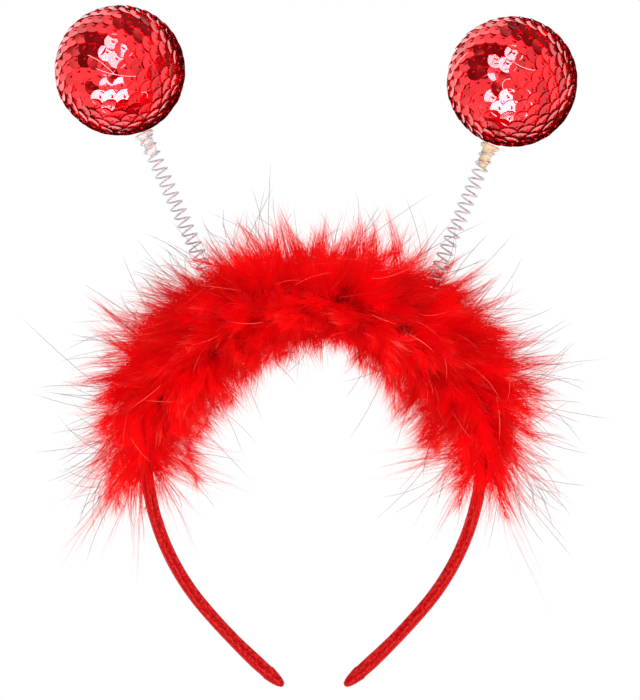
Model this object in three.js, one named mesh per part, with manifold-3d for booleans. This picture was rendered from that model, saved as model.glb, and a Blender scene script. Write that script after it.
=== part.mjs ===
// Costume headband: a satin covered band in a marabou feather trim, with two sequin covered
// balls that stand on coil springs.
// Millimetres, +Z up, -Y is the front, +X is the right of the front view.
// The origin is where the top of a head meets the inside of the band's crown.
import * as THREE from "three";
import { mergeVertices } from "three/addons/utils/BufferGeometryUtils.js";
import Module from "manifold-3d";

const wasm = await Module();
wasm.setup();

// Driving dimensions
const bandThick = 4.6;
const bandWide = 6.6;
const bandFacets = 14;
const bandStep = 7;
const seatGap = 0.3;

// The band's centre line, from the middle of the crown down to one tip: arcs that run on from
// each other. The other half is its mirror image.
const bandArcs = [
  { stretch: "crown", radius: 65, sweepDeg: 47 },
  { stretch: "shoulder", radius: 48.5, sweepDeg: 46.2 },
  { stretch: "side", radius: 87.5, sweepDeg: 37 },
  { stretch: "leg", radius: 225, sweepDeg: 10.4 },
];

// The band's section near a tip, as shares of its full size, by distance back from the end: it
// rounds off, and the cover's folded end makes it a little thicker behind that.
const tipSections = [
  { back: 0, thick: 0.2, wide: 0.2 },
  { back: 0.3, thick: 0.38, wide: 0.36 },
  { back: 1.5, thick: 0.68, wide: 0.64 },
  { back: 3.6, thick: 0.92, wide: 0.84 },
  { back: 7, thick: 1.1, wide: 0.97 },
  { back: 12, thick: 1.14, wide: 1.02 },
  { back: 17, thick: 1.06, wide: 1.0 },
  { back: 24, thick: 1.0, wide: 1.0 },
];

// The outer form of the feather trim: how far it stands from the band's centre line at each
// distance along it from the crown. Minus is the left half.
const trimSections = [
  { along: -107, outward: 5.0, inward: 4.6, depth: 6.0 },
  { along: -101, outward: 10.0, inward: 10.5, depth: 12.0 },
  { along: -94, outward: 13.0, inward: 15.5, depth: 16.5 },
  { along: -84, outward: 17.5, inward: 15.8, depth: 19.0 },
  { along: -72, outward: 22.5, inward: 17.8, depth: 21.0 },
  { along: -56, outward: 25.4, inward: 22.0, depth: 22.5 },
  { along: -40, outward: 25.4, inward: 19.6, depth: 22.0 },
  { along: -26, outward: 27.2, inward: 16.2, depth: 21.5 },
  { along: -13, outward: 28.2, inward: 15.2, depth: 22.0 },
  { along: 0, outward: 23.0, inward: 16.2, depth: 21.0 },
  { along: 13, outward: 26.6, inward: 15.0, depth: 21.5 },
  { along: 26, outward: 27.6, inward: 16.2, depth: 22.0 },
  { along: 40, outward: 26.4, inward: 19.2, depth: 22.5 },
  { along: 56, outward: 26.0, inward: 22.0, depth: 22.0 },
  { along: 72, outward: 25.2, inward: 18.8, depth: 21.5 },
  { along: 84, outward: 19.0, inward: 18.6, depth: 19.5 },
  { along: 94, outward: 13.6, inward: 16.5, depth: 16.5 },
  { along: 101, outward: 10.4, inward: 10.0, depth: 12.0 },
  { along: 107, outward: 5.0, inward: 4.6, depth: 6.0 },
];
const trimFacets = 20;
const trimStep = 6;

// Each bopper: where its spring stands along the band, how it leans outward, how far up the
// spring's own line its ball's centre is from the band's centre line, and how far the ball sits
// to one side of that line.
const boppers = [
  { side: "left", along: -31, leanDeg: -24.4, reach: 100.4, ballShift: 1.5 },
  { side: "right", along: 37, leanDeg: 22.7, reach: 98, ballShift: -1.7 },
];
const ballRadius = 23.8;
const ballColumns = 26;
const ballRows = 16;
const coilRadius = 2.65;
const wireDiameter = 0.7;
const coilPitch = 3.25;
const coilStepsPerTurn = 10;
const wireFacets = 6;
const springHoleClearance = 0.5;
const springHoleFacets = 16;

// The lump of clear glue that fills the top turns of a spring and cups the ball
const glueShankRadius = 1.9;
const glueShankLength = 8;
const glueFootRadius = 1.3;
const glueFootTaper = 1.2;
const glueFlangeRadius = 3.1;
const glueFlangeThick = 1.1;
const glueCupDepth = 0.8;
const glueFacets = 12;

const finishes = {
  satin: { color: 0xd3161c, roughness: 0.55, metalness: 0 },
  marabou: { color: 0xea0610, roughness: 0.95, metalness: 0 },
  sequins: { color: 0xd8101e, roughness: 0.2, metalness: 0.8 },
  wire: { color: 0xc9c9d2, roughness: 0.25, metalness: 1 },
  glue: { color: 0xe8e2d4, roughness: 0.35, metalness: 0 },
};

const mergeTolerance = 1e-4;
const halfLength = bandArcs.reduce((sum, arc) => sum + arcLength(arc), 0);
const crownCentre = new THREE.Vector3(0, 0, bandThick / 2);
const depthAxis = new THREE.Vector3(0, 1, 0);

function arcLength({ radius, sweepDeg }) {
  return radius * THREE.MathUtils.degToRad(sweepDeg);
}

// The point on the band's centre line at a signed distance from the crown, and the direction
// that points out of the hoop there.
function bandStation(along) {
  let remaining = Math.min(Math.abs(along), halfLength);
  let heading = 0;
  const point = crownCentre.clone();
  const outwardAt = (angle) => new THREE.Vector3(Math.sin(angle), 0, Math.cos(angle));
  for (const arc of bandArcs) {
    const used = Math.min(remaining, arcLength(arc));
    const centre = point.clone().addScaledVector(outwardAt(heading), -arc.radius);
    heading += used / arc.radius;
    point.copy(centre).addScaledVector(outwardAt(heading), arc.radius);
    remaining -= used;
    if (remaining <= 0) break;
  }
  const outward = outwardAt(heading);
  const side = along < 0 ? -1 : 1;
  point.x *= side;
  outward.x *= side;
  return { point, outward };
}

// The columns of a table at any distance between its first and last row
function sectionsAlong(Interpolant, rows, key, columns) {
  const distances = rows.map((row) => row[key]);
  const values = rows.flatMap((row) => columns.map((column) => row[column]));
  const interpolant = new Interpolant(distances, values, columns.length);
  return (distance) => [...interpolant.evaluate(distance)];
}

// One oval ring of points round the band's centre line. The oval reaches outward and inward by
// different amounts.
function ovalRing(along, outward, inward, halfDepth, facets) {
  const station = bandStation(along);
  const middle = (outward - inward) / 2;
  const halfHeight = (outward + inward) / 2;
  return Array.from({ length: facets }, (_, i) => {
    const angle = (2 * Math.PI * (i + 0.5)) / facets;
    return station.point
      .clone()
      .addScaledVector(station.outward, middle + halfHeight * Math.cos(angle))
      .addScaledVector(depthAxis, halfDepth * Math.sin(angle));
  });
}

// A closed surface through rings that have the same number of points, with flat ends
function loft(rings) {
  const count = rings[0].length;
  const points = rings.flat();
  const faces = [];
  for (let r = 0; r + 1 < rings.length; r += 1) {
    for (let i = 0; i < count; i += 1) {
      const a = r * count + i;
      const b = r * count + ((i + 1) % count);
      faces.push(a, a + count, b, b, a + count, b + count);
    }
  }
  const lastRing = (rings.length - 1) * count;
  for (let i = 1; i + 1 < count; i += 1) {
    faces.push(0, i, i + 1);
    faces.push(lastRing, lastRing + i + 1, lastRing + i);
  }
  return new THREE.BufferGeometry().setFromPoints(points).setIndex(faces);
}

function evenSteps(from, to, step) {
  const count = Math.ceil((to - from) / step);
  return Array.from({ length: count + 1 }, (_, i) => from + ((to - from) * i) / count);
}

function solidOf(geometry) {
  const bare = geometry.clone();
  bare.deleteAttribute("normal");
  bare.deleteAttribute("uv");
  const merged = mergeVertices(bare, mergeTolerance);
  return new wasm.Manifold(
    new wasm.Mesh({
      numProp: 3,
      vertProperties: new Float32Array(merged.attributes.position.array),
      triVerts: new Uint32Array(merged.index.array),
    }),
  );
}

function geometryOf(solid) {
  const mesh = solid.getMesh();
  const geometry = new THREE.BufferGeometry();
  geometry.setAttribute("position", new THREE.BufferAttribute(mesh.vertProperties, 3));
  geometry.setIndex(new THREE.BufferAttribute(mesh.triVerts, 1));
  return geometry;
}

function namedMesh(name, geometry, finish) {
  geometry.computeVertexNormals();
  const mesh = new THREE.Mesh(geometry, new THREE.MeshStandardMaterial(finish));
  mesh.name = name;
  return mesh;
}

// The band with a clearance all round it, from one end to the other
function bandGeometry(clearance) {
  const tipStart = tipSections[tipSections.length - 1].back;
  const shaped = tipSections.slice(0, -1).map((section) => halfLength - section.back);
  const plain = evenSteps(tipStart - halfLength, halfLength - tipStart, bandStep);
  const stations = [...shaped.map((along) => -along), ...plain, ...shaped.reverse()];
  const shareAt = sectionsAlong(THREE.LinearInterpolant, tipSections, "back", ["thick", "wide"]);
  const rings = stations.map((along) => {
    const [thick, wide] = shareAt(halfLength - Math.abs(along));
    const halfThick = (bandThick / 2) * thick + clearance;
    const halfWide = (bandWide / 2) * wide + clearance;
    return ovalRing(along, halfThick, halfThick, halfWide, bandFacets);
  });
  return loft(rings);
}

function trimGeometry(cuts) {
  const first = trimSections[0].along;
  const last = trimSections[trimSections.length - 1].along;
  const columns = ["outward", "inward", "depth"];
  const formAt = sectionsAlong(THREE.CubicInterpolant, trimSections, "along", columns);
  const rings = evenSteps(first, last, trimStep).map((along) =>
    ovalRing(along, ...formAt(along), trimFacets),
  );
  const fluff = solidOf(loft(rings));
  return geometryOf(cuts.reduce((solid, cut) => solid.subtract(solidOf(cut)), fluff));
}

// A coil of wire up the Z axis, starting at its foot
class CoilCurve extends THREE.Curve {
  constructor(height) {
    super();
    this.height = height;
  }

  getPoint(t, target = new THREE.Vector3()) {
    const angle = (2 * Math.PI * t * this.height) / coilPitch;
    return target.set(
      coilRadius * Math.cos(angle),
      coilRadius * Math.sin(angle),
      t * this.height,
    );
  }
}

function springGeometry(height) {
  const section = new THREE.Shape();
  for (let i = 0; i < wireFacets; i += 1) {
    const angle = (2 * Math.PI * i) / wireFacets;
    const [x, y] = [Math.cos(angle), Math.sin(angle)].map((v) => (v * wireDiameter) / 2);
    if (i === 0) section.moveTo(x, y);
    else section.lineTo(x, y);
  }
  section.closePath();
  return new THREE.ExtrudeGeometry(section, {
    extrudePath: new CoilCurve(height),
    steps: Math.round((height / coilPitch) * coilStepsPerTurn),
    bevelEnabled: false,
  });
}

// A sphere that stands on its Z axis, in place on its bopper
function ballGeometry(radius, { ballShift, reach }) {
  const sphere = new THREE.SphereGeometry(radius, ballColumns, ballRows);
  return sphere.rotateX(Math.PI / 2).translate(ballShift, 0, reach);
}

// Glue as a turned piece: a shank inside the coil, and a flange whose top is cupped to the ball
function glueGeometry(flangeFoot, bopperRow) {
  const shankFoot = flangeFoot - glueShankLength;
  const flangeTop = flangeFoot + glueFlangeThick + seatGap + glueCupDepth;
  const profile = [
    new THREE.Vector2(0, shankFoot),
    new THREE.Vector2(glueFootRadius, shankFoot),
    new THREE.Vector2(glueShankRadius, shankFoot + glueFootTaper),
    new THREE.Vector2(glueShankRadius, flangeFoot),
    new THREE.Vector2(glueFlangeRadius, flangeFoot),
    new THREE.Vector2(glueFlangeRadius, flangeTop),
    new THREE.Vector2(0, flangeTop),
  ];
  // A lathe turns about Y, so it is stood up on Z
  const lump = new THREE.LatheGeometry(profile, glueFacets).rotateX(Math.PI / 2);
  const cup = ballGeometry(ballRadius + seatGap, bopperRow);
  return geometryOf(solidOf(lump).subtract(solidOf(cup)));
}

const headband = new THREE.Group();
headband.add(namedMesh("band", bandGeometry(0), finishes.satin));

const trimCuts = [bandGeometry(seatGap)];
for (const bopperRow of boppers) {
  // The bopper stands up its own Z axis from the band's centre line, and its group leans it over
  const { side, along, leanDeg, reach } = bopperRow;
  const footHeight = bandThick / 2 + seatGap + wireDiameter / 2;
  const flangeFoot = reach - ballRadius - seatGap - glueFlangeThick;
  const springHeight = flangeFoot - seatGap - wireDiameter / 2 - footHeight;

  const bopper = new THREE.Group();
  bopper.position.copy(bandStation(along).point);
  bopper.rotation.y = THREE.MathUtils.degToRad(leanDeg);
  headband.add(bopper);

  const spring = namedMesh(`spring_${side}`, springGeometry(springHeight), finishes.wire);
  spring.position.z = footHeight;
  const glue = namedMesh(`glue_${side}`, glueGeometry(flangeFoot, bopperRow), finishes.glue);
  const sequins = ballGeometry(ballRadius, bopperRow);
  const ball = namedMesh(`sequin_ball_${side}`, sequins, finishes.sequins);
  bopper.add(spring, glue, ball);

  // The way that the spring takes up through the feathers
  const holeRadius = coilRadius + wireDiameter / 2 + springHoleClearance;
  const hole = new THREE.CylinderGeometry(holeRadius, holeRadius, reach, springHoleFacets)
    .rotateX(Math.PI / 2)
    .translate(0, 0, reach / 2);
  bopper.updateMatrix();
  trimCuts.push(hole.applyMatrix4(bopper.matrix));
}
headband.add(namedMesh("marabou_trim", trimGeometry(trimCuts), finishes.marabou));

export default headband;
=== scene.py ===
import math

import bmesh
import bpy
import numpy as np
from mathutils import Matrix, Vector, noise
from mathutils.bvhtree import BVHTree


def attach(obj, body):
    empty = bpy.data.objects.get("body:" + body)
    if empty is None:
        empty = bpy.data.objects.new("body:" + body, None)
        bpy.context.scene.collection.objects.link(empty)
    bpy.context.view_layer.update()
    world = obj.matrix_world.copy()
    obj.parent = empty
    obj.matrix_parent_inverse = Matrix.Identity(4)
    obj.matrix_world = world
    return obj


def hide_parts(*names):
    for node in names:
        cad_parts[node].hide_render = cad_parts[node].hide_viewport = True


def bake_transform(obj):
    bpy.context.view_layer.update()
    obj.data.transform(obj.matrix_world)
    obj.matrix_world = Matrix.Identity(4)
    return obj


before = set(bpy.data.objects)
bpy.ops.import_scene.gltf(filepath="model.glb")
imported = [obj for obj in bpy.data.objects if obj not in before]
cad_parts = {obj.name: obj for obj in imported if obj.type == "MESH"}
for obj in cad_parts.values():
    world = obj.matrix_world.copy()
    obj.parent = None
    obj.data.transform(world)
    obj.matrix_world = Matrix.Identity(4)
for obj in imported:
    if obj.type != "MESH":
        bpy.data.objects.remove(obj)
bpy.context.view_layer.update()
scene = bpy.context.scene
rng = np.random.default_rng(31)  # the feathers' random choices; the sequins have a seed of their own
noise.seed_set(1795677745)  # the lumps in the glue and the patches of sequins that lean together
print("frame loaded:", ", ".join(sorted(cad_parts)))

# Camera straight in front, with the photo's framing at the band
photoView = {
    "middle": (0.00216, -0.01354),  # X and Z at the middle of the image
    "distance": 1.1,
    "tall": 0.252,  # height of the image at the band
    "sensor": 36,
}


def setCamera():
    data = bpy.data.cameras.new("camera")
    data.sensor_width = photoView["sensor"]
    data.lens = photoView["sensor"] * photoView["distance"] / photoView["tall"]
    data.clip_start = 0.05
    camera = bpy.data.objects.new("camera", data)
    camera.location = (photoView["middle"][0], -photoView["distance"], photoView["middle"][1])
    camera.rotation_euler = (math.pi / 2, 0, 0)
    scene.collection.objects.link(camera)
    scene.camera = camera


def addNode(tree, kind, **settings):
    node = tree.nodes.new(kind)
    for name, value in settings.items():
        setattr(node, name, value)
    return node


def setInputs(node, values):
    for name, value in values.items():
        node.inputs[name].default_value = value


def startMaterial(name):
    material = bpy.data.materials.new(name)
    material.use_nodes = True
    tree = material.node_tree
    return material, tree, tree.nodes["Principled BSDF"]


# The camera sees one shader, and the light comes from another
def showToCamera(tree, seen, lighting, target):
    ray = addNode(tree, "ShaderNodeLightPath")
    mix = addNode(tree, "ShaderNodeMixShader")
    tree.links.new(ray.outputs["Is Camera Ray"], mix.inputs["Fac"])
    tree.links.new(lighting.outputs[0], mix.inputs[1])
    tree.links.new(seen.outputs[0], mix.inputs[2])
    tree.links.new(mix.outputs[0], target)


def finishMesh(bm, name):
    for face in bm.faces:
        face.smooth = True
    mesh = bpy.data.meshes.new(name)
    bm.to_mesh(mesh)
    bm.free()
    return mesh


# White studio: a bright room whose dark patches give the sequins something to mirror
studio = {
    "backdrop": 1.0,
    "bright": 1.05,
    # direction of a dark patch, degrees to the edge of its middle and to its rim, brightness there
    "shades": (
        ((-0.5, -0.4, 0.75), 26, 34, 0.06),
        ((0.02, -1.0, -0.22), 11, 15, 0.06),
        ((-0.52, -0.62, -0.58), 11, 16, 0.05),
        ((0.85, 0.55, 0.1), 6, 12, 0.1),
        ((0.45, 0.3, 0.85), 18, 28, 0.08),
    ),
    # name, place, size and watts of each soft light; these are unseen in the sequins
    "lights": (
        ("wash left", (-0.7, -1.4, 0.35), (0.9, 0.9), 10.45),
        ("wash right", (0.7, -1.4, 0.25), (0.9, 0.9), 8.55),
        ("wash low", (0, -0.9, -0.8), (0.9, 0.6), 1.3),
        ("top", (0, 0.1, 1.2), (0.8, 0.6), 14),
        ("side left", (-1.2, 0.2, 0.1), (0.7, 0.9), 2.8),
        ("side right", (1.2, 0.2, 0.1), (0.7, 0.9), 2.8),
    ),
    # the same for the softboxes, which light the sequins only
    "softboxes": (
        ("softbox high", (0.0, -1.0, 0.75), (0.8, 0.8), 34.8),
        ("softbox low", (0.02, -0.36, -0.62), (0.72, 0.78), 36),
    ),
    "softboxAim": (0, 0, 0.08),
    "bounces": 14,  # light goes many times to and fro under the sequins' edges
    "floor": -0.1372,
    "floorSize": 3,
    "floorTone": 0.8,
    "floorGlow": 1,
}
white = (1, 1, 1, 1)


def makeRoom():
    scene.view_settings.view_transform = "Standard"
    scene.cycles.max_bounces = studio["bounces"] + 2
    scene.cycles.glossy_bounces = studio["bounces"]
    world = bpy.data.worlds.new("studio")
    scene.world = world
    world.use_nodes = True
    tree = world.node_tree
    tree.nodes.clear()
    direction = addNode(tree, "ShaderNodeTexCoord")
    room = addNode(tree, "ShaderNodeBackground")
    darkest = None
    for aim, inner, outer, strength in studio["shades"]:
        facing = addNode(tree, "ShaderNodeVectorMath", operation="DOT_PRODUCT")
        facing.inputs[1].default_value = Vector(aim).normalized()
        tree.links.new(direction.outputs["Generated"], facing.inputs[0])
        shade = addNode(tree, "ShaderNodeMapRange", interpolation_type="SMOOTHSTEP")
        setInputs(shade, {"From Min": math.cos(math.radians(outer)), "To Min": studio["bright"],
                          "From Max": math.cos(math.radians(inner)), "To Max": strength})
        tree.links.new(facing.outputs["Value"], shade.inputs["Value"])
        if darkest:
            darker = addNode(tree, "ShaderNodeMath", operation="MINIMUM")
            tree.links.new(darkest, darker.inputs[0])
            tree.links.new(shade.outputs["Result"], darker.inputs[1])
            darkest = darker.outputs[0]
        else:
            darkest = shade.outputs["Result"]
    tree.links.new(darkest, room.inputs["Strength"])
    room.inputs["Color"].default_value = white
    backdrop = addNode(tree, "ShaderNodeBackground")
    setInputs(backdrop, {"Color": white, "Strength": studio["backdrop"]})
    output = addNode(tree, "ShaderNodeOutputWorld")
    showToCamera(tree, backdrop, room, output.inputs["Surface"])


sequinPieces = bpy.data.collections.new("lit by the softboxes")


def addSoftLight(name, place, aim, size, watts, forSequins):
    data = bpy.data.lights.new(name, "AREA")
    data.shape = "RECTANGLE"
    data.size = size[0]
    data.size_y = size[1]
    data.energy = watts
    light = bpy.data.objects.new(name, data)
    light.location = place
    light.rotation_euler = (Vector(aim) - Vector(place)).to_track_quat("-Z", "Y").to_euler()
    light.visible_camera = False
    light.visible_glossy = forSequins
    light.visible_diffuse = not forSequins
    if forSequins:
        light.light_linking.receiver_collection = sequinPieces
    scene.collection.objects.link(light)


def makeLights():
    for name, place, size, watts in studio["lights"]:
        addSoftLight(name, place, (0, 0, 0), size, watts, False)
    for name, place, size, watts in studio["softboxes"]:
        addSoftLight(name, place, studio["softboxAim"], size, watts, True)


def makeFloor():
    bm = bmesh.new()
    bmesh.ops.create_grid(bm, x_segments=1, y_segments=1, size=studio["floorSize"])
    bmesh.ops.translate(bm, verts=bm.verts, vec=(0, 0, studio["floor"]))
    mesh = finishMesh(bm, "floor")
    floor = bpy.data.objects.new("floor", mesh)
    floor.visible_glossy = False
    floor.visible_shadow = False
    scene.collection.objects.link(floor)
    material, tree, surface = startMaterial("pale floor")
    tone = studio["floorTone"]
    setInputs(surface, {"Base Color": (tone, tone, tone, 1), "Roughness": 0.9, "Emission Color": white,
                        "Emission Strength": studio["floorGlow"]})
    # To the camera the floor is as white as the backdrop, so that fine strands show against both alike
    seen = addNode(tree, "ShaderNodeEmission")
    setInputs(seen, {"Color": white, "Strength": studio["backdrop"]})
    showToCamera(tree, seen, surface, tree.nodes["Material Output"].inputs["Surface"])
    mesh.materials.append(material)


setCamera()
makeRoom()
makeLights()
makeFloor()
print("camera, studio light and floor set")


# Colours a surface by a value
def addRamp(tree, surface, value, stops):
    ramp = addNode(tree, "ShaderNodeValToRGB")
    elements = ramp.color_ramp.elements
    while len(elements) < len(stops):
        elements.new(0.5)
    for element, (position, colour) in zip(elements, stops):
        element.position = position
        element.color = (*colour, 1)
    tree.links.new(value, ramp.inputs["Fac"])
    tree.links.new(ramp.outputs["Color"], surface.inputs["Base Color"])


# Cloudy mix of two colours, built once and placed in each material that clouds
def makeMottle():
    group = bpy.data.node_groups.new("mottle", "ShaderNodeTree")
    colour, number = "NodeSocketColor", "NodeSocketFloat"
    wanted = (("Vector", "NodeSocketVector"), ("Scale", number), ("Detail", number), ("From", number),
              ("To", number), ("Dim", colour), ("Bright", colour))
    for name, kind in wanted:
        group.interface.new_socket(name, in_out="INPUT", socket_type=kind)
    for name, kind in (("Color", colour), ("Height", number)):
        group.interface.new_socket(name, in_out="OUTPUT", socket_type=kind)
    given = addNode(group, "NodeGroupInput")
    result = addNode(group, "NodeGroupOutput")
    cloud = addNode(group, "ShaderNodeTexNoise")
    share = addNode(group, "ShaderNodeMapRange", interpolation_type="SMOOTHSTEP")
    blend = addNode(group, "ShaderNodeMix", data_type="RGBA")
    for name in ("Vector", "Scale", "Detail"):
        group.links.new(given.outputs[name], cloud.inputs[name])
    group.links.new(cloud.outputs["Fac"], share.inputs["Value"])
    group.links.new(given.outputs["From"], share.inputs["From Min"])
    group.links.new(given.outputs["To"], share.inputs["From Max"])
    group.links.new(share.outputs["Result"], blend.inputs[0])
    group.links.new(given.outputs["Dim"], blend.inputs[6])  # a Mix node's colours are its sockets 6 and 7
    group.links.new(given.outputs["Bright"], blend.inputs[7])
    group.links.new(blend.outputs[2], result.inputs["Color"])
    group.links.new(cloud.outputs["Fac"], result.inputs["Height"])
    return group


mottle = makeMottle()


def addMottle(tree, scale, dim, bright, detail=3.0, spread=(0.35, 0.65)):
    coords = addNode(tree, "ShaderNodeTexCoord")
    cloud = addNode(tree, "ShaderNodeGroup", node_tree=mottle)
    setInputs(cloud, {"Scale": scale, "Detail": detail, "From": spread[0], "To": spread[1],
                      "Dim": (*dim, 1), "Bright": (*bright, 1)})
    tree.links.new(coords.outputs["Object"], cloud.inputs["Vector"])
    return cloud


def addBump(tree, surface, height, distance, strength):
    bump = addNode(tree, "ShaderNodeBump")
    setInputs(bump, {"Distance": distance, "Strength": strength})
    tree.links.new(height, bump.inputs["Height"])
    tree.links.new(bump.outputs[0], surface.inputs["Normal"])


def cloudedMaterial(name, clouds, inputs, bump):
    material, tree, surface = startMaterial(name)
    cloud = addMottle(tree, *clouds)
    tree.links.new(cloud.outputs["Color"], surface.inputs["Base Color"])
    setInputs(surface, inputs)
    addBump(tree, surface, cloud.outputs["Height"], *bump)
    return material


# A piece has its mesh's name; a spring rides no single body
def showPiece(mesh, material, body, slot, *nodes):
    mesh.materials.append(material)
    piece = bpy.data.objects.new(mesh.name, mesh)
    scene.collection.objects.link(piece)
    if body:
        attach(piece, body)
    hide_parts(*nodes)
    return piece


# The band's hoop: four tangent arcs a side, from the middle of the crown down to a tip
bandShape = {
    "arcs": ((0.065, 47.0), (0.0485, 46.2), (0.0875, 37.0), (0.225, 10.4)),  # radius, sweep in degrees
    "thick": 0.0046,
    "wide": 0.0066,
    "sides": 28,
    "ringGap": 0.00135,
    "tipLong": 0.0096,
    # near a tip: distance back from the end, share of the thickness, share of the width
    "tip": ((0, 0.05, 0.05), (0.0003, 0.38, 0.36), (0.0015, 0.68, 0.64), (0.0036, 0.92, 0.84),
            (0.0066, 1.12, 0.99), (0.0072, 1.16, 1.02), (0.0078, 1.05, 0.98), (0.013, 1.1, 1.01),
            (0.024, 1.0, 1.0)),
    "crepe": (750, 1400, 1),  # grains to a metre along and across
    "drawnOut": (0.3, 1, 1),  # the wrapped ribbon's folds run along the band and wander a little
    "folds": {"Scale": 170, "Distortion": 5.0, "Detail": 3.0, "Detail Scale": 0.7, "Phase Offset": 5.1},
    "foldShare": 0.13,  # how much of the relief is folds and not grain
    # colours by the relief's height, darker low and lighter high: partly the crepe's own mottling, partly
    # painted shade in the hollows of the grain and folds and painted light on their ridges
    "colours": ((0.36, (0.19, 0.0, 0.001)), (0.5, (0.3, 0.001, 0.002)), (0.64, (0.4, 0.014, 0.012))),
}


def bandLength():
    return sum(radius * math.radians(sweep) for radius, sweep in bandShape["arcs"])


# Points, outward directions and onward directions at distances along the band, minus to the left
def alongBand(distances):
    distances = np.asarray(distances, dtype=float)
    side = np.where(distances < 0, -1.0, 1.0)
    gone = np.abs(distances)
    x = np.zeros_like(gone)
    z = np.zeros_like(gone)
    heading = np.zeros_like(gone)
    start = Vector((0, 0, bandShape["thick"] / 2))
    startHeading = 0.0
    startGone = 0.0
    for radius, sweep in bandShape["arcs"]:
        here = gone >= startGone
        turned = startHeading + (gone - startGone) / radius
        x = np.where(here, start.x + radius * (np.sin(turned) - math.sin(startHeading)), x)
        z = np.where(here, start.z + radius * (np.cos(turned) - math.cos(startHeading)), z)
        heading = np.where(here, turned, heading)
        endHeading = startHeading + math.radians(sweep)
        start.x += radius * (math.sin(endHeading) - math.sin(startHeading))
        start.z += radius * (math.cos(endHeading) - math.cos(startHeading))
        startGone += radius * math.radians(sweep)
        startHeading = endHeading
    flat = np.zeros_like(x)
    place = np.stack((side * x, flat, z), axis=-1)
    outward = np.stack((side * np.sin(heading), flat, np.cos(heading)), axis=-1)
    onward = np.stack((side * np.cos(heading), flat, -np.sin(heading)), axis=-1)
    return place, outward, onward


def satinMaterial():
    material, tree, surface = startMaterial("red satin ribbon")
    along = addNode(tree, "ShaderNodeAttribute", attribute_name="along")
    across = addNode(tree, "ShaderNodeAttribute", attribute_name="across")
    ribbon = addNode(tree, "ShaderNodeCombineXYZ")
    tree.links.new(along.outputs["Fac"], ribbon.inputs["X"])
    tree.links.new(across.outputs["Fac"], ribbon.inputs["Y"])
    crepe = addNode(tree, "ShaderNodeMapping")
    crepe.inputs["Scale"].default_value = bandShape["crepe"]
    tree.links.new(ribbon.outputs[0], crepe.inputs["Vector"])
    grain = addNode(tree, "ShaderNodeTexNoise")
    setInputs(grain, {"Scale": 1.0, "Detail": 2.0, "Roughness": 0.6})
    tree.links.new(crepe.outputs[0], grain.inputs["Vector"])
    drawnOut = addNode(tree, "ShaderNodeMapping")
    drawnOut.inputs["Scale"].default_value = bandShape["drawnOut"]
    tree.links.new(ribbon.outputs[0], drawnOut.inputs["Vector"])
    fold = addNode(tree, "ShaderNodeTexWave", wave_type="BANDS", bands_direction="Y")
    setInputs(fold, bandShape["folds"])
    tree.links.new(drawnOut.outputs[0], fold.inputs["Vector"])
    folded = addNode(tree, "ShaderNodeMath", operation="MULTIPLY")
    folded.inputs[1].default_value = bandShape["foldShare"]
    tree.links.new(fold.outputs["Fac"], folded.inputs[0])
    height = addNode(tree, "ShaderNodeMath", operation="MULTIPLY_ADD")
    height.inputs[1].default_value = 1 - bandShape["foldShare"]
    tree.links.new(grain.outputs["Fac"], height.inputs[0])
    tree.links.new(folded.outputs[0], height.inputs[2])
    # Painted shade and light: the colour follows the same height as the bump, darker in the hollows
    addRamp(tree, surface, height.outputs[0], bandShape["colours"])
    setInputs(surface, {"Roughness": 0.6, "Specular IOR Level": 0.05, "Sheen Weight": 0.012,
                        "Sheen Roughness": 0.4, "Sheen Tint": (1, 0.4, 0.38, 1)})
    addBump(tree, surface, height.outputs[0], 0.0005, 0.6)
    return material


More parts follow.
